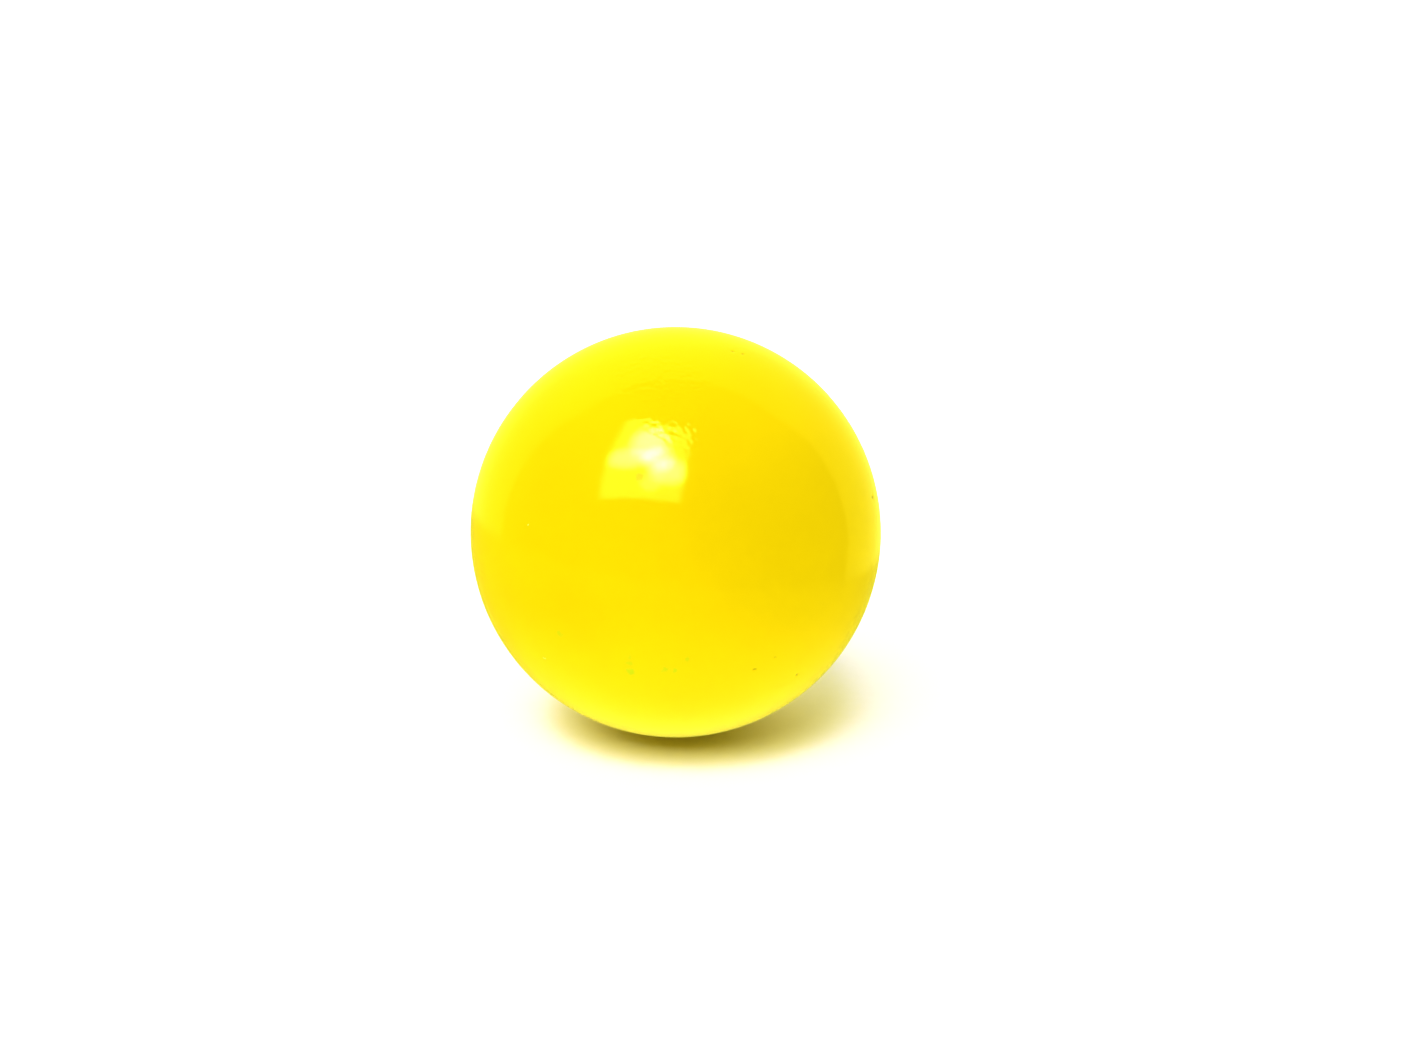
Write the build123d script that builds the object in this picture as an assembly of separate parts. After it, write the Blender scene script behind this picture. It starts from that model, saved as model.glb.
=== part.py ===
"""Miniature table tennis ball, 16 mm: two lapped half shells, the cement between them and a gloss coat.

Millimetres. The origin is the ball's centre. The seam lies in the XY plane, and +Z is the seam's
normal, through the middle of the upper half shell. The ball rests on the point (0, 0, -8).
"""

from build123d import *

import math
import os

# Driving dimensions.
BALL_DIAMETER = 16.0        # over the coat
COAT_THICKNESS = 0.08       # the gloss lacquer, flowed over both half shells
WALL_THICKNESS = 0.50       # a half shell, away from its rim
LAP_HEIGHT = 0.80           # how far the lower shell's tongue goes up inside the upper shell
CEMENT_GAP = 0.06           # the film of cement on each face of the lap joint
BEAD_WIDTH = 0.70           # the cement squeezed out along the inside of the joint
BEAD_HEIGHT = 0.16          # how far that bead stands off the inside wall

# What follows from them.
BALL_RADIUS = BALL_DIAMETER / 2
SHELL_OUTER_RADIUS = BALL_RADIUS - COAT_THICKNESS
SHELL_INNER_RADIUS = SHELL_OUTER_RADIUS - WALL_THICKNESS
LAP_RADIUS = (SHELL_OUTER_RADIUS + SHELL_INNER_RADIUS) / 2
SKIRT_INNER_RADIUS = LAP_RADIUS + CEMENT_GAP / 2
TONGUE_OUTER_RADIUS = LAP_RADIUS - CEMENT_GAP / 2
SKIRT_EDGE_Z = CEMENT_GAP / 2
SHOULDER_Z = -CEMENT_GAP / 2
TONGUE_TIP_Z = LAP_HEIGHT
RECESS_Z = LAP_HEIGHT + CEMENT_GAP


def on_sphere(radius, z):
    """The point of a half section, in the XZ plane, where a sphere of this radius has this height."""
    return (math.sqrt(radius * radius - z * z), 0, z)


def sphere_arc(radius, start_z, end_z):
    """The arc of a centred sphere's outline, on the +X side, from one height to another."""
    middle_angle = (math.asin(start_z / radius) + math.asin(end_z / radius)) / 2
    middle = (radius * math.cos(middle_angle), 0, radius * math.sin(middle_angle))
    return ThreePointArc(on_sphere(radius, start_z), middle, on_sphere(radius, end_z))


def step(start, end):
    """A straight stretch of a half section."""
    return Line(start, end)


def turned(edges):
    """The closed half section given by these edges, turned once around Z."""
    return revolve(make_face(edges), axis=Axis.Z, revolution_arc=360)


def make_upper_half_shell():
    """The hemisphere whose rim is an outer skirt: it comes down over the tongue to the seam."""
    return turned([
        sphere_arc(SHELL_OUTER_RADIUS, SHELL_OUTER_RADIUS, SKIRT_EDGE_Z),
        step(on_sphere(SHELL_OUTER_RADIUS, SKIRT_EDGE_Z), on_sphere(SKIRT_INNER_RADIUS, SKIRT_EDGE_Z)),
        sphere_arc(SKIRT_INNER_RADIUS, SKIRT_EDGE_Z, RECESS_Z),
        step(on_sphere(SKIRT_INNER_RADIUS, RECESS_Z), on_sphere(SHELL_INNER_RADIUS, RECESS_Z)),
        sphere_arc(SHELL_INNER_RADIUS, RECESS_Z, SHELL_INNER_RADIUS),
        step((0, 0, SHELL_INNER_RADIUS), (0, 0, SHELL_OUTER_RADIUS)),
    ])


def make_lower_half_shell():
    """The hemisphere whose rim is an inner tongue above an outer shoulder."""
    return turned([
        sphere_arc(SHELL_OUTER_RADIUS, -SHELL_OUTER_RADIUS, SHOULDER_Z),
        step(on_sphere(SHELL_OUTER_RADIUS, SHOULDER_Z), on_sphere(TONGUE_OUTER_RADIUS, SHOULDER_Z)),
        sphere_arc(TONGUE_OUTER_RADIUS, SHOULDER_Z, TONGUE_TIP_Z),
        step(on_sphere(TONGUE_OUTER_RADIUS, TONGUE_TIP_Z), on_sphere(SHELL_INNER_RADIUS, TONGUE_TIP_Z)),
        sphere_arc(SHELL_INNER_RADIUS, TONGUE_TIP_Z, -SHELL_INNER_RADIUS),
        step((0, 0, -SHELL_INNER_RADIUS), (0, 0, -SHELL_OUTER_RADIUS)),
    ])


def make_seam_cement():
    """The cement ring: a film on every face of the lap joint, and the bead along its inside."""
    bead_middle_z = (TONGUE_TIP_Z + RECESS_Z) / 2
    bead_top_z = bead_middle_z + BEAD_WIDTH / 2
    bead_bottom_z = bead_middle_z - BEAD_WIDTH / 2
    bead_crest = on_sphere(SHELL_INNER_RADIUS - BEAD_HEIGHT, bead_middle_z)
    bead = ThreePointArc(
        on_sphere(SHELL_INNER_RADIUS, bead_top_z), bead_crest, on_sphere(SHELL_INNER_RADIUS, bead_bottom_z)
    )
    return turned([
        sphere_arc(SHELL_OUTER_RADIUS, SHOULDER_Z, SKIRT_EDGE_Z),
        step(on_sphere(SHELL_OUTER_RADIUS, SKIRT_EDGE_Z), on_sphere(SKIRT_INNER_RADIUS, SKIRT_EDGE_Z)),
        sphere_arc(SKIRT_INNER_RADIUS, SKIRT_EDGE_Z, RECESS_Z),
        step(on_sphere(SKIRT_INNER_RADIUS, RECESS_Z), on_sphere(SHELL_INNER_RADIUS, RECESS_Z)),
        sphere_arc(SHELL_INNER_RADIUS, RECESS_Z, bead_top_z),
        bead,
        sphere_arc(SHELL_INNER_RADIUS, bead_bottom_z, TONGUE_TIP_Z),
        step(on_sphere(SHELL_INNER_RADIUS, TONGUE_TIP_Z), on_sphere(TONGUE_OUTER_RADIUS, TONGUE_TIP_Z)),
        sphere_arc(TONGUE_OUTER_RADIUS, TONGUE_TIP_Z, SHOULDER_Z),
        step(on_sphere(TONGUE_OUTER_RADIUS, SHOULDER_Z), on_sphere(SHELL_OUTER_RADIUS, SHOULDER_Z)),
    ])


def make_lacquer_coat():
    """The gloss coat: one closed layer over both half shells and the seam."""
    return Sphere(BALL_RADIUS) - Sphere(SHELL_OUTER_RADIUS)


PARTS = {
    "upper_half_shell": make_upper_half_shell,
    "lower_half_shell": make_lower_half_shell,
    "seam_cement": make_seam_cement,
    "lacquer_coat": make_lacquer_coat,
}

os.makedirs("parts", exist_ok=True)
for name, make in PARTS.items():
    shape = make()
    shape.label = name
    export_step(shape, f"parts/{name}.step")
    print(f"{name}: {shape.volume:.3f} mm3")
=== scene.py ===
"""Looks of the miniature table tennis ball: the lacquer coat's real surface, the materials, the light.

Metres, in the CAD frame: the origin is the ball's centre, +Z is up, and the camera looks mostly along
+Y. Places on the ball are (longitude, latitude) in degrees: longitude 0 faces the camera and grows to
its right, and latitude grows upwards.
"""

import math

import bmesh
import bpy
from mathutils import Euler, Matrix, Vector, noise


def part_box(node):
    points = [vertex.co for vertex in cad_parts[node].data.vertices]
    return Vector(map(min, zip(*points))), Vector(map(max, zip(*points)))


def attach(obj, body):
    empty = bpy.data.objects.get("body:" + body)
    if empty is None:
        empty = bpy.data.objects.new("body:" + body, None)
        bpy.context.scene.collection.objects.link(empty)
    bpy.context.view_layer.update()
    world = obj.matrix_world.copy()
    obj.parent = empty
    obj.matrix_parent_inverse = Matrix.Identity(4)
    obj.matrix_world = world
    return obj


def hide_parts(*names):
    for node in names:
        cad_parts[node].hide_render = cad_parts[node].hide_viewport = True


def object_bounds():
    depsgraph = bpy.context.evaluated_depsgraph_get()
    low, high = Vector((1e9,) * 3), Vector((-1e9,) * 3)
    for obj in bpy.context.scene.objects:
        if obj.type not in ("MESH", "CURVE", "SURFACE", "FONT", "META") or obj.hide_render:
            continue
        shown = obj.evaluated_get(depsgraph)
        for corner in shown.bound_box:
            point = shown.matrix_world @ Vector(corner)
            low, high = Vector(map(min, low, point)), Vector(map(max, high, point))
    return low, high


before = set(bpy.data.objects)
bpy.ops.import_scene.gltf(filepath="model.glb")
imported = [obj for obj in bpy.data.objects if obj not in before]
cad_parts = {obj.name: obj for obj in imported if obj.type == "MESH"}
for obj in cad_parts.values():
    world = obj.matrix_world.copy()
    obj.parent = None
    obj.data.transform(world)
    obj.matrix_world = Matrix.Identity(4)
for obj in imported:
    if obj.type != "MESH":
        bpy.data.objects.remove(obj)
cad_low, cad_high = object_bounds()

MM = 0.001
CENTRE = (cad_low + cad_high) / 2
BALL_RADIUS = (cad_high.z - cad_low.z) / 2
FLOOR_Z = cad_low.z

# The lacquer coat's surface.
COAT_INSIDE_RADIUS = max(abs(c) for n in ("upper_half_shell", "lower_half_shell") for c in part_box(n)[1])
COAT_RADIUS = BALL_RADIUS - 0.012 * MM   # before its relief, which then stays within the CAD's ball
OUTSIDE_SEGMENTS = 84                    # faces along a cube's edge, before the refined places
INSIDE_SEGMENTS = 40
REFINE_MARGIN = 0.35 * MM                # how far the first split goes past the second
FLAW_MARGIN = 0.15 * MM                  # more room round each flaw
WAVE_HEIGHT = 0.0035 * MM                # the slow unevenness of a flowed coat
WAVE_LENGTH = 2.6 * MM
PEEL_HEIGHT = 0.0009 * MM                # the fine unevenness, orange peel
PEEL_LENGTH = 0.7 * MM

# The wrinkled patches of the upper front, where the coat skinned over before it was dry: the middle,
# half the width and half the height in mm, how far the right end leans down in degrees, and the relief
# in mm.
WRINKLED = (
    ((4, 44.5), 2.3, 1.35, 27, 0.006),
    ((-10, 60), 2.3, 1.6, 5, 0.008),
)
RIDGE_LONG = 0.22 * MM            # the ridges run mostly along their patch
RIDGE_WIDE = 0.16 * MM
CURL_SIZE = 0.9 * MM              # they wander over this distance
CURL_REACH = 0.8                  # and by this share of their own size

# Small flaws: (longitude, latitude), across in mm, relief in mm, and the strength of the tint.
PITS_AND_PAINTED_SHADE_SPOT = (
    ((23, -25), 0.19, -0.025, 0.5),
    ((29, -22), 0.14, -0.014, 0.3),
    ((41, -31), 0.18, -0.026, 0.5),
    ((49, 69), 0.22, -0.020, 0.7),
    ((54, 67), 0.16, -0.016, 0.55),
    ((74, 14), 0.30, -0.030, 0.8),
    # A barely sunk dimple whose brown tint is painted shade: the dark spot it makes in the window's
    # highlight.
    ((-10.5, 29), 0.45, -0.002, 0.38),
)
NIBS = (
    ((-43, 13), 0.17, 0.012, 0.8),
    ((-42, -25), 0.15, 0.010, 0.6),
)
# Stains without relief: (longitude, latitude), across in mm, and strength.
SMUDGES = (
    ((-13, -24.5), 0.56, 0.95),
    ((-13, -21.5), 0.44, 0.6),
    ((-13, -19.5), 0.38, 0.5),
    ((-3, -23), 0.50, 0.7),
    ((-0.5, -23.5), 0.44, 0.75),
    ((3, -20), 0.48, 0.6),
    ((-33, -15), 0.46, 0.6),
)


def direction(place):
    """The unit vector from the ball's centre to a (longitude, latitude)."""
    longitude, latitude = (math.radians(a) for a in place)
    across = math.cos(latitude)
    return Vector((across * math.sin(longitude), -across * math.cos(longitude), math.sin(latitude)))


def smooth_step(x, low, high):
    """0 below low, 1 above high, and a smooth S between."""
    t = min(max((x - low) / (high - low), 0.0), 1.0)
    return t * t * (3.0 - 2.0 * t)


# ---------------------------------------------------------------- camera

CAMERA_ELEVATION = math.radians(15)
CAMERA_DISTANCE = 76.3 * MM
CAMERA_LENS = 50.0
FRAMING_RIGHT = 1.02 * MM     # the ball stands left of the picture's middle by this much
FRAMING_UP = 0.39 * MM        # and below it by this much


def make_camera():
    """The scene's one camera: above the ball and in front of it."""
    data = bpy.data.cameras.new("camera")
    data.lens = CAMERA_LENS
    data.sensor_width = 36.0
    data.clip_start = 1 * MM
    data.clip_end = 5.0
    camera = bpy.data.objects.new("camera", data)
    back = Vector((0, -math.cos(CAMERA_ELEVATION), math.sin(CAMERA_ELEVATION)))
    up = Vector((0, math.sin(CAMERA_ELEVATION), math.cos(CAMERA_ELEVATION)))
    camera.location = CENTRE + back * CAMERA_DISTANCE
    aim = CENTRE + Vector((1, 0, 0)) * FRAMING_RIGHT + up * FRAMING_UP
    camera.rotation_euler = (aim - camera.location).to_track_quat("-Z", "Y").to_euler()
    bpy.context.scene.collection.objects.link(camera)
    bpy.context.scene.camera = camera


# ---------------------------------------------------------------- the coat's mesh


def relief(unit):
    """How far the coat stands off COAT_RADIUS in this direction, in metres."""
    at = unit * BALL_RADIUS
    height = WAVE_HEIGHT * noise.noise(at / WAVE_LENGTH + Vector((3.1, 7.7, 1.9)))
    height += PEEL_HEIGHT * noise.noise(at / PEEL_LENGTH + Vector((11.3, 2.5, 5.1)))
    height += sum(wrinkles(at, *patch) for patch in WRINKLED)
    for place, across, tall, _ in PITS_AND_PAINTED_SHADE_SPOT + NIBS:
        gap = (at - direction(place) * BALL_RADIUS).length / (across * MM / 2)
        if gap < 2.0:
            height += tall * MM * math.exp(-2.0 * gap * gap)
    return height


def wrinkles(at, place, wide, tall, lean, height):
    """Curled ridges over one wrinkled patch, which fade out at its edge."""
    middle = direction(place)
    side = Vector((0, 0, 1)).cross(middle).normalized()
    rise = middle.cross(side)
    off = at - middle * BALL_RADIUS
    turn = Vector((math.cos(math.radians(lean)), -math.sin(math.radians(lean))))
    along = off.dot(side * turn.x + rise * turn.y)
    across = off.dot(rise * turn.x - side * turn.y)
    reach = math.hypot(along / wide, across / tall) / MM
    if reach > 1.0 or at.dot(middle) < 0:
        return 0.0
    curl = Vector((along, across, 0)) / CURL_SIZE
    wander = Vector((noise.noise(curl), noise.noise(curl + Vector((9, 9, 9))), 0)) * CURL_REACH
    point = Vector((along / RIDGE_LONG, across / RIDGE_WIDE, 0)) + wander
    ridges = noise.noise(point) + 0.7 * noise.noise(point * 0.6 + Vector((1.7, 5.3, 2.4)))
    return height * MM * (1.0 - smooth_step(reach, 0.6, 1.0)) * ridges


def refine(bm, places, times):
    """Splits the faces round these (place, distance) pairs so many times, all of them together.

    Each time stays a margin inside the one before, so that only four-sided faces are split."""
    for left in reversed(range(times)):
        near = set()
        for place, distance in places:
            middle = direction(place)
            reach = (distance + left * REFINE_MARGIN) / BALL_RADIUS
            close = {v for v in bm.verts if (v.co - middle).length < reach}
            near |= {e for v in close for e in v.link_edges if e.other_vert(v) in close}
        bmesh.ops.subdivide_edges(bm, edges=sorted(near, key=lambda e: e.index), cuts=1, use_grid_fill=True)
        bm.edges.index_update()
        for v in bm.verts:
            v.co.normalize()
    many_sided = [f for f in bm.faces if len(f.verts) > 4]
    bmesh.ops.triangulate(bm, faces=many_sided)


def blown_cube(bm, segments):
    """A cube's six grids, spread evenly over the unit ball."""
    bmesh.ops.create_cube(bm, size=2.0)
    bmesh.ops.subdivide_edges(bm, edges=bm.edges[:], cuts=segments - 1, use_grid_fill=True)
    for v in bm.verts:
        v.co = Vector([math.tan(math.pi / 4 * c) for c in v.co]).normalized()


def as_mesh(bm, name):
    """A mesh of this bmesh, which is freed."""
    mesh = bpy.data.meshes.new(name)
    bm.to_mesh(mesh)
    bm.free()
    return mesh


def make_coat():
    """The lacquer coat: an uneven outside, refined where it is flawed, and a plain inside on the shells."""
    outside = bmesh.new()
    blown_cube(outside, OUTSIDE_SEGMENTS)
    flawed = [(place, 0.9 * across * MM + FLAW_MARGIN) for place, across, _, _ in PITS_AND_PAINTED_SHADE_SPOT + NIBS]
    wrinkled = [(place, 1.05 * wide * MM) for place, wide, _, _, _ in WRINKLED]
    refine(outside, flawed + wrinkled, 2)
    for v in outside.verts:
        v.co = v.co * min(COAT_RADIUS + relief(v.co), BALL_RADIUS)

    inside = bmesh.new()
    blown_cube(inside, INSIDE_SEGMENTS)
    for v in inside.verts:
        v.co = v.co * COAT_INSIDE_RADIUS
    bmesh.ops.reverse_faces(inside, faces=inside.faces[:])

    both = bmesh.new()
    for wall in (as_mesh(outside, "outside"), as_mesh(inside, "inside")):
        both.from_mesh(wall)
        bpy.data.meshes.remove(wall)
    mesh = as_mesh(both, "lacquer_coat_surface")
    mesh.shade_smooth()
    coat = bpy.data.objects.new("gloss_lacquer_coat", mesh)
    coat.location = CENTRE
    bpy.context.scene.collection.objects.link(coat)
    return coat


# ---------------------------------------------------------------- material nodes


class Nodes:
    """Short calls for adding and joining the nodes of one tree."""

    def __init__(self, tree):
        self.tree = tree

    def add(self, kind, **settings):
        node = self.tree.nodes.new(kind)
        for key, value in settings.items():
            setattr(node, key, value)
        return node

    def join(self, source, target):
        self.tree.links.new(source, target)

    def fill(self, socket, value):
        """Joins a socket to the input, or sets the input to a plain value."""
        if isinstance(value, bpy.types.NodeSocket):
            self.join(value, socket)
        else:
            socket.default_value = value

    def maths(self, operation, *values):
        node = self.add("ShaderNodeMath", operation=operation)
        for socket, value in zip(node.inputs, values):
            self.fill(socket, value)
        return node.outputs[0]

    def vector(self, operation, *values, out=0):
        node = self.add("ShaderNodeVectorMath", operation=operation)
        for socket, value in zip(node.inputs, values):
            self.fill(socket, value)
        return node.outputs[out]

    def spread(self, value, low, high, to_low=0.0, to_high=1.0):
        """A smooth step: low and below gives to_low, high and above gives to_high."""
        node = self.add("ShaderNodeMapRange", interpolation_type="SMOOTHSTEP")
        self.fill(node.inputs["Value"], value)
        node.inputs["From Min"].default_value = low
        node.inputs["From Max"].default_value = high
        node.inputs["To Min"].default_value = to_low
        node.inputs["To Max"].default_value = to_high
        return node.outputs[0]

    def noise(self, where, scale, detail=2.0, distortion=0.0):
        node = self.add("ShaderNodeTexNoise")
        self.fill(node.inputs["Vector"], where)
        node.inputs["Scale"].default_value = scale
        node.inputs["Detail"].default_value = detail
        node.inputs["Distortion"].default_value = distortion
        return node.outputs["Fac"]

    def shake(self, where, scale, reach):
        """The same place, moved about by noise by up to this much."""
        node = self.add("ShaderNodeTexNoise")
        self.fill(node.inputs["Vector"], where)
        node.inputs["Scale"].default_value = scale
        centred = self.vector("SUBTRACT", node.outputs["Color"], (0.5, 0.5, 0.5))
        return self.vector("MULTIPLY_ADD", centred, (2 * reach, 2 * reach, 2 * reach), where)

    def blend(self, factor, first, second):
        """Mixes two colours."""
        node = self.add("ShaderNodeMix", data_type="RGBA")
        self.fill(node.inputs[0], factor)
        self.fill(node.inputs[6], first)
        self.fill(node.inputs[7], second)
        return node.outputs[2]


def new_material(name):
    """An empty material: (material, its nodes, its Principled shader)."""
    material = bpy.data.materials.new(name)
    material.use_nodes = True
    material.node_tree.nodes.clear()
    nodes = Nodes(material.node_tree)
    shader = nodes.add("ShaderNodeBsdfPrincipled")
    output = nodes.add("ShaderNodeOutputMaterial")
    nodes.join(shader.outputs[0], output.inputs[0])
    return material, nodes, shader


def paint(piece, material):
    """Gives a whole piece one material."""
    piece.data.materials.clear()
    piece.data.materials.append(material)


# ---------------------------------------------------------------- materials

YELLOW = (0.80, 0.582, 0.004, 1)
DEEP_YELLOW = (0.77, 0.551, 0.003, 1)
# Brown of the pits, which also paints the shade of the dimple in the highlight.
PIT_BROWN_AND_PAINTED_SHADE = (0.16, 0.13, 0.01, 1)
NIB_PALE = (0.98, 0.93, 0.35, 1)
SMUDGE_GREEN = (0.50, 0.58, 0.02, 1)
GLOSS_TINT = (1.0, 1.0, 0.3, 1)


def spots(nodes, where, places, softness):
    """A mask that is each spot's strength at its middle and 0 past its edge."""
    total = 0.0
    for place, across, strength in places:
        middle = direction(place) * BALL_RADIUS
        gap = nodes.vector("DISTANCE", where, middle, out=1)
        half = across * MM / 2
        total = nodes.maths("MAXIMUM", total, nodes.spread(gap, half * softness, half, strength, 0.0))
    return total


def tints(flaws):
    """These flaws as spots: place, across and strength."""
    return [(place, across, tint) for place, across, _, tint in flaws]


def make_lacquer():
    """Gloss yellow lacquer, with its stains, dark pits and pale nibs, and one dimple's painted shade in the
    highlight.
    """
    material, nodes, shader = new_material("yellow_lacquer")
    where = nodes.add("ShaderNodeTexCoord").outputs["Object"]
    cloudy = nodes.spread(nodes.noise(where, 160.0, detail=3.0), 0.35, 0.68)
    colour = nodes.blend(cloudy, YELLOW, DEEP_YELLOW)

    ragged = nodes.noise(where, 5200.0, detail=2.0)
    shaken = nodes.shake(where, 4200.0, 0.16 * MM)
    smudge = nodes.maths("MULTIPLY", spots(nodes, shaken, SMUDGES, 0.2), nodes.spread(ragged, 0.25, 0.5))
    colour = nodes.blend(smudge, colour, SMUDGE_GREEN)
    # The pits' own dark colour, and the dimple's painted shade in the highlight.
    pit_and_shade = spots(nodes, shaken, tints(PITS_AND_PAINTED_SHADE_SPOT), 0.35)
    colour = nodes.blend(pit_and_shade, colour, PIT_BROWN_AND_PAINTED_SHADE)
    nib = spots(nodes, shaken, tints(NIBS), 0.3)
    colour = nodes.blend(nib, colour, NIB_PALE)
    nodes.join(colour, shader.inputs["Base Color"])

    hazy = nodes.noise(where, 420.0, detail=4.0)
    rough = nodes.spread(hazy, 0.3, 0.75, 0.07, 0.10)
    nodes.join(nodes.maths("ADD", rough, nodes.maths("MULTIPLY", smudge, 0.15)), shader.inputs["Roughness"])

    bump = nodes.add("ShaderNodeBump")
    bump.inputs["Strength"].default_value = 0.35
    bump.inputs["Distance"].default_value = 0.002 * MM
    nodes.join(nodes.noise(where, 3200.0, detail=2.0), bump.inputs["Height"])
    nodes.join(bump.outputs[0], shader.inputs["Normal"])
    shader.inputs["IOR"].default_value = 1.5
    shader.inputs["Specular Tint"].default_value = GLOSS_TINT
    return material


def make_shell_plastic():
    """The off-white satin plastic of both half shells."""
    material, nodes, shader = new_material("shell_plastic")
    where = nodes.add("ShaderNodeTexCoord").outputs["Object"]
    clouds = nodes.noise(where, 300.0, detail=3.0)
    colour = nodes.blend(nodes.spread(clouds, 0.3, 0.7), (0.82, 0.79, 0.70, 1), (0.74, 0.70, 0.60, 1))
    nodes.join(colour, shader.inputs["Base Color"])
    nodes.join(nodes.spread(nodes.noise(where, 2500.0), 0.3, 0.7, 0.38, 0.55), shader.inputs["Roughness"])
    bump = nodes.add("ShaderNodeBump")
    bump.inputs["Strength"].default_value = 0.4
    bump.inputs["Distance"].default_value = 0.01 * MM
    nodes.join(nodes.noise(where, 4000.0, detail=3.0), bump.inputs["Height"])
    nodes.join(bump.outputs[0], shader.inputs["Normal"])
    return material


def make_cement():
    """The dried amber cement, uneven where it ran."""
    material, nodes, shader = new_material("cement")
    where = nodes.add("ShaderNodeTexCoord").outputs["Object"]
    runs = nodes.noise(where, 900.0, detail=2.0, distortion=0.6)
    colour = nodes.blend(nodes.spread(runs, 0.3, 0.7), (0.80, 0.72, 0.50, 1), (0.66, 0.55, 0.30, 1))
    nodes.join(colour, shader.inputs["Base Color"])
    nodes.join(nodes.spread(runs, 0.25, 0.75, 0.18, 0.34), shader.inputs["Roughness"])
    bump = nodes.add("ShaderNodeBump")
    bump.inputs["Strength"].default_value = 0.6
    bump.inputs["Distance"].default_value = 0.03 * MM
    nodes.join(runs, bump.inputs["Height"])
    nodes.join(bump.outputs[0], shader.inputs["Normal"])
    return material


# ---------------------------------------------------------------- floor, light and surroundings

# The white sheet it stands on: corners (right, back) from under the ball, in mm, in order round it.
SHEET_CORNERS = ((-52, -28), (-28, -40), (30, -48), (48, -26), (60, 70), (-52, 70))

WINDOW_TOWARDS = Vector((-0.275, -0.561, 0.781))
LAMP_DISTANCE = 1.0
GLARE_DISTANCE = 0.9          # in front of the lamps, which would hide it otherwise
WINDOW_ROLL = math.radians(7)
WINDOW_SIZE = (0.86, 0.74)
WINDOW_ENERGY = 8.6
SHEET_LIGHT_TOWARDS = Vector((-0.22, -0.56, 0.79))
SHEET_LIGHT_ENERGY = 10.0     # more of the window's light, for the sheet alone
BOUNCE_TOWARDS = Vector((0.1, -0.45, -0.89))
BOUNCE_ENERGY = 0.2
GLARE_SIZE = (0.9, 0.81)
GLARE_ENERGY = 6.5

# What the gloss shows of the window, by the place across it and up it, both from 0 to 1: a dim pane with
# soft sides that lean together, and brighter places, each given by its middle, its half width, its half
# height and its brightness.
PANE = 1.8
PANE_LEFT_LEAN = 0.18
PANE_LEFT = (0.01, 0.12)
PANE_RIGHT_LEAN = 0.08
PANE_RIGHT = (0.90, 0.98)
PANE_BOTTOM = (0.06, 0.13)
BRIGHT_PLACES = (
    ((0.63, 0.54), 0.19, 0.18, 12.5),
    ((0.51, 0.71), 0.22, 0.25, 13.5),
    ((0.35, 0.53), 0.27, 0.14, 9.5),
    ((0.75, 0.43), 0.24, 0.19, 10.5),
    ((0.60, 0.30), 0.14, 0.14, 4.0),
)

ROOM_FRONT = 0.3              # brightness of the room behind the camera
ROOM_BACK = 0.75              # and of the rest of it, overhead and behind the ball
ROOM_TURN = (-0.6, 0.5)       # how far back the one starts to turn into the other, and ends
ROOM_RISE = 0.9               # where each unit of height counts as this much further back
OVERHEAD = 0.15               # how much brighter it is straight above
OVERHEAD_FROM = (0.3, 1.0)    # the heights between which that comes in
ROOM_IN_GLOSS = (1, 1, 0.35, 1)   # the room's colour in reflections
TABLE_UNDER = 2.5             # brightness below the ball, which stands for the sheet in reflections
TABLE_FAR = 0.8               # and out towards the sheet's edge
TABLE_DOWN = (-1.0, -0.4)     # the heights between which the one turns into the other
TABLE_EDGE = (-0.27, -0.21)   # how low the sheet's far edge is
TABLE_TURN = 0.12             # and how much lower on the right
CARD = 0.8                    # how much brighter the white card behind the ball is
CARD_SIDES = (3.4, 2.7, 3.0)  # how far it reaches up, left and right, for each unit back
CARD_BLUR = 0.06
BACKDROP = 1.4                # brightness of the plain white that the camera sees past the sheet

BLUE_WHITE = 1.25
BLUE_GRADE = ((0.1, 0.025), (0.5, 0.25), (1.0, 0.9))


def make_floor():
    """The white sheet. The world stands for it in the ball's reflections."""
    mesh = bpy.data.meshes.new("white_sheet")
    corners = [(right * MM, back * MM, FLOOR_Z) for right, back in SHEET_CORNERS]
    mesh.from_pydata(corners, [], [range(len(corners))])
    floor = bpy.data.objects.new("white_sheet", mesh)
    bpy.context.scene.collection.objects.link(floor)
    material, nodes, shader = new_material("white_paper")
    where = nodes.add("ShaderNodeTexCoord").outputs["Object"]
    fibre = nodes.noise(where, 1500.0, detail=4.0)
    colour = nodes.blend(fibre, (0.73, 0.73, 0.73, 1), (0.76, 0.76, 0.76, 1))
    nodes.join(colour, shader.inputs["Base Color"])
    shader.inputs["Roughness"].default_value = 0.9
    shader.inputs["Specular IOR Level"].default_value = 0.1
    paint(floor, material)
    floor.visible_glossy = False
    return floor


def make_area_light(name, towards, size, energy, distance):
    """A rectangular lamp in this direction from the ball, facing it."""
    data = bpy.data.lights.new(name, "AREA")
    data.shape = "RECTANGLE"
    data.size, data.size_y = size
    data.energy = energy
    lamp = bpy.data.objects.new(name, data)
    lamp.location = CENTRE + towards.normalized() * distance
    turn = (-towards).to_track_quat("-Z", "Y")
    lamp.rotation_mode = "QUATERNION"
    lamp.rotation_quaternion = turn @ Euler((0, 0, WINDOW_ROLL)).to_quaternion()
    bpy.context.scene.collection.objects.link(lamp)
    return lamp


def alone(piece):
    """A collection that holds only this piece, for light linking."""
    collection = bpy.data.collections.new("only_" + piece.name)
    collection.objects.link(piece)
    return collection


def make_bounce(ball):
    """More of the light that comes up from the sheet, for the ball alone."""
    lamp = make_area_light("bounce", BOUNCE_TOWARDS, WINDOW_SIZE, BOUNCE_ENERGY, LAMP_DISTANCE)
    lamp.visible_glossy = False
    lamp.light_linking.receiver_collection = alone(ball)
    lamp.light_linking.blocker_collection = alone(ball)


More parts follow.
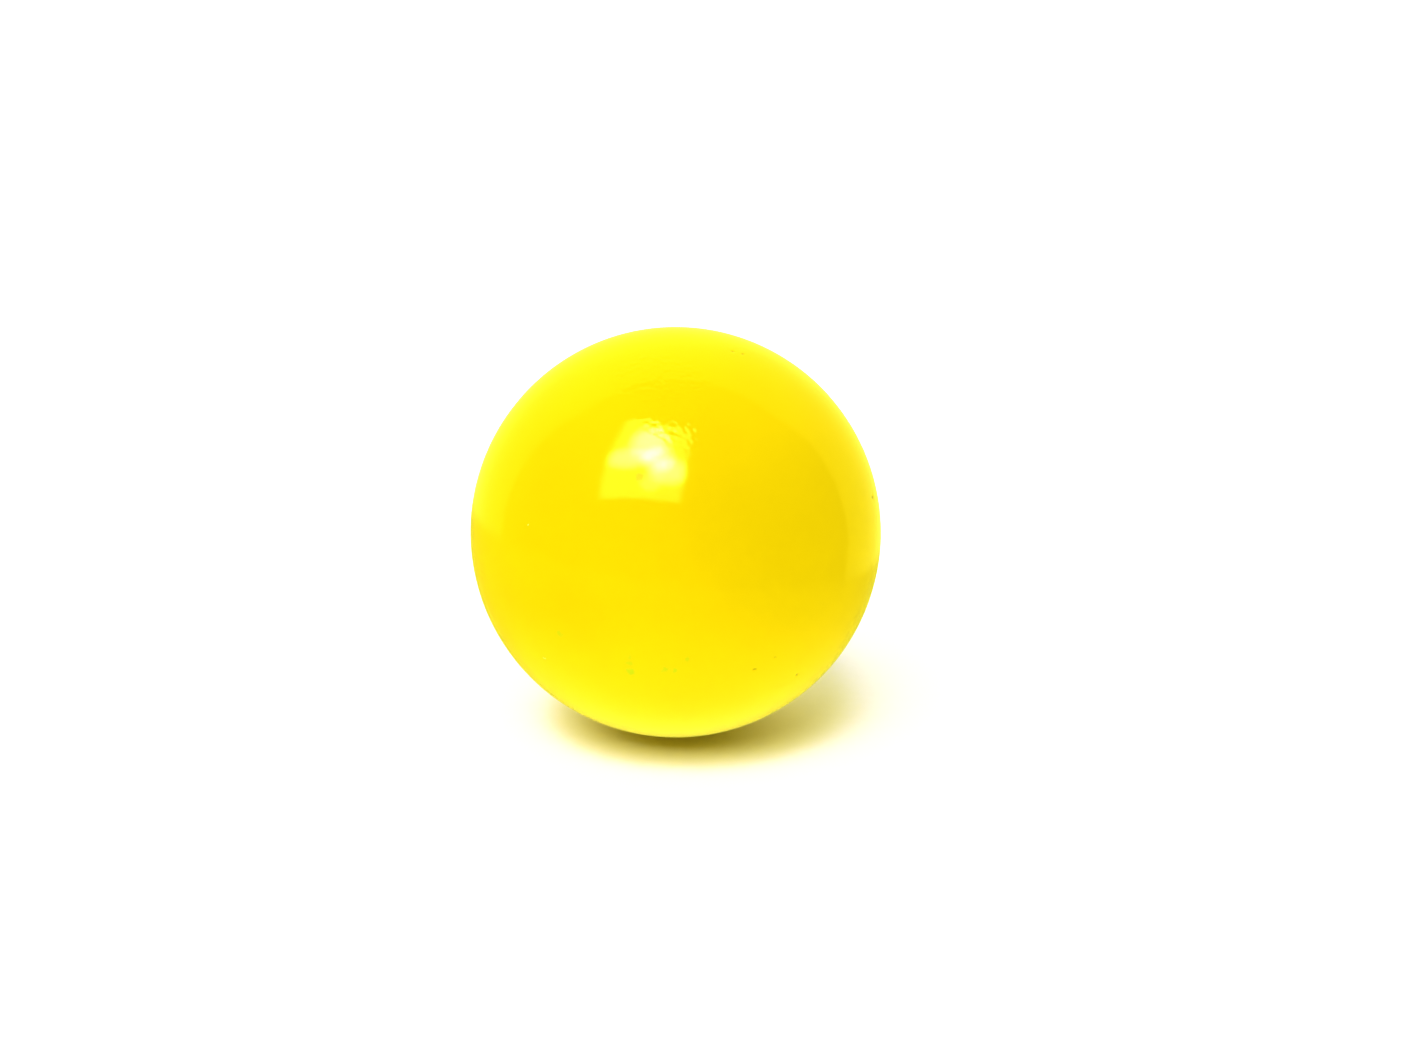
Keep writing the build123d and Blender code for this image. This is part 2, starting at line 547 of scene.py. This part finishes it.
def make_window(sheet):
    """The soft light of the window, and what the gloss shows of it."""
    window = make_area_light("window", WINDOW_TOWARDS, WINDOW_SIZE, WINDOW_ENERGY, LAMP_DISTANCE)
    window.visible_glossy = False
    on_sheet = make_area_light(
        "light_on_sheet", SHEET_LIGHT_TOWARDS, WINDOW_SIZE, SHEET_LIGHT_ENERGY, LAMP_DISTANCE
    )
    on_sheet.visible_glossy = False
    on_sheet.light_linking.receiver_collection = alone(sheet)

    shown = make_area_light("window_seen_in_gloss", WINDOW_TOWARDS, GLARE_SIZE, GLARE_ENERGY, GLARE_DISTANCE)
    shown.visible_diffuse = False
    shown.data.use_nodes = True
    tree = shown.data.node_tree
    tree.nodes.clear()
    nodes = Nodes(tree)
    split = nodes.add("ShaderNodeSeparateXYZ")
    nodes.join(nodes.add("ShaderNodeNewGeometry").outputs["Parametric"], split.inputs[0])
    emission = nodes.add("ShaderNodeEmission")
    nodes.join(glare_pattern(nodes, split.outputs[0], split.outputs[1]), emission.inputs["Strength"])
    output = nodes.add("ShaderNodeOutputLight")
    nodes.join(emission.outputs[0], output.inputs[0])


def glare_pattern(nodes, across, up):
    """The brightness over the window, by its place across and up it, both from 0 to 1."""
    left = nodes.spread(nodes.maths("MULTIPLY_ADD", up, -PANE_LEFT_LEAN, across), *PANE_LEFT)
    right = nodes.spread(nodes.maths("MULTIPLY_ADD", up, PANE_RIGHT_LEAN, across), *PANE_RIGHT, 1.0, 0.0)
    bottom = nodes.spread(up, *PANE_BOTTOM)
    light = PANE
    for (middle, height), wide, tall, strength in BRIGHT_PLACES:
        off = nodes.maths("DIVIDE", nodes.maths("SUBTRACT", across, middle), wide)
        rise = nodes.maths("DIVIDE", nodes.maths("SUBTRACT", up, height), tall)
        reach = nodes.maths("MULTIPLY_ADD", off, off, nodes.maths("MULTIPLY", rise, rise))
        light = nodes.maths("ADD", light, nodes.spread(reach, 0.0, 1.0, strength, 0.0))
    pane = nodes.maths("MULTIPLY", nodes.maths("MULTIPLY", left, right), bottom)
    return nodes.maths("MULTIPLY", light, pane)


def card_mask(nodes, x, y, z):
    """1 in the directions of the white card, and 0 elsewhere."""
    up, left, right = CARD_SIDES
    inside_left = nodes.maths("MULTIPLY_ADD", y, left, x)
    inside_right = nodes.maths("SUBTRACT", nodes.maths("MULTIPLY", y, right), x)
    below_top = nodes.maths("SUBTRACT", nodes.maths("MULTIPLY", y, up), z)
    mask = 1.0
    for margin in (inside_left, inside_right, below_top):
        mask = nodes.maths("MULTIPLY", mask, nodes.spread(margin, -CARD_BLUR, CARD_BLUR))
    return mask


def make_surroundings():
    """A room that is dim in front and brighter overhead and behind, with a white card behind the ball."""
    world = bpy.data.worlds.new("studio")
    bpy.context.scene.world = world
    world.use_nodes = True
    world.node_tree.nodes.clear()
    nodes = Nodes(world.node_tree)
    towards = nodes.add("ShaderNodeTexCoord").outputs["Generated"]
    split = nodes.add("ShaderNodeSeparateXYZ")
    nodes.join(towards, split.inputs[0])
    x, y, z = split.outputs
    room = nodes.spread(nodes.maths("MULTIPLY_ADD", z, ROOM_RISE, y), *ROOM_TURN, ROOM_FRONT, ROOM_BACK)
    room = nodes.maths("ADD", room, nodes.spread(z, *OVERHEAD_FROM, 0.0, OVERHEAD))
    room = nodes.maths("MULTIPLY_ADD", card_mask(nodes, x, y, z), CARD, room)
    below_edge = nodes.spread(nodes.maths("MULTIPLY_ADD", x, TABLE_TURN, z), *TABLE_EDGE, 1.0, 0.0)
    table = nodes.spread(z, *TABLE_DOWN, TABLE_UNDER, TABLE_FAR)
    light = nodes.maths("MULTIPLY_ADD", below_edge, nodes.maths("SUBTRACT", table, room), room)
    surround = nodes.add("ShaderNodeBackground")
    in_gloss = nodes.add("ShaderNodeLightPath").outputs["Is Glossy Ray"]
    nodes.join(nodes.blend(in_gloss, (1, 1, 1, 1), ROOM_IN_GLOSS), surround.inputs["Color"])
    nodes.join(light, surround.inputs["Strength"])
    backdrop = nodes.add("ShaderNodeBackground")
    backdrop.inputs["Color"].default_value = (1, 1, 1, 1)
    backdrop.inputs["Strength"].default_value = BACKDROP
    seen = nodes.add("ShaderNodeLightPath").outputs["Is Camera Ray"]
    mix = nodes.add("ShaderNodeMixShader")
    nodes.join(seen, mix.inputs[0])
    nodes.join(surround.outputs[0], mix.inputs[1])
    nodes.join(backdrop.outputs[0], mix.inputs[2])
    output = nodes.add("ShaderNodeOutputWorld")
    nodes.join(mix.outputs[0], output.inputs[0])


def grade():
    """A bright, strongly saturated picture: blue is held back until near white."""
    settings = bpy.context.scene.view_settings
    settings.view_transform = "Standard"
    settings.use_curve_mapping = True
    mapping = settings.curve_mapping
    mapping.white_level = (1.0, 1.0, BLUE_WHITE)
    blue = mapping.curves[2]
    for linear, graded in BLUE_GRADE:
        blue.points.new(linear / BLUE_WHITE, graded)
    mapping.update()


# ---------------------------------------------------------------- the scene

make_camera()
coat = make_coat()
paint(coat, make_lacquer())
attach(coat, "root")
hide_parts("lacquer_coat")

shell_plastic = make_shell_plastic()
paint(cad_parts["upper_half_shell"], shell_plastic)
paint(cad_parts["lower_half_shell"], shell_plastic)
paint(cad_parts["seam_cement"], make_cement())

make_window(make_floor())
make_bounce(coat)
make_surroundings()
grade()
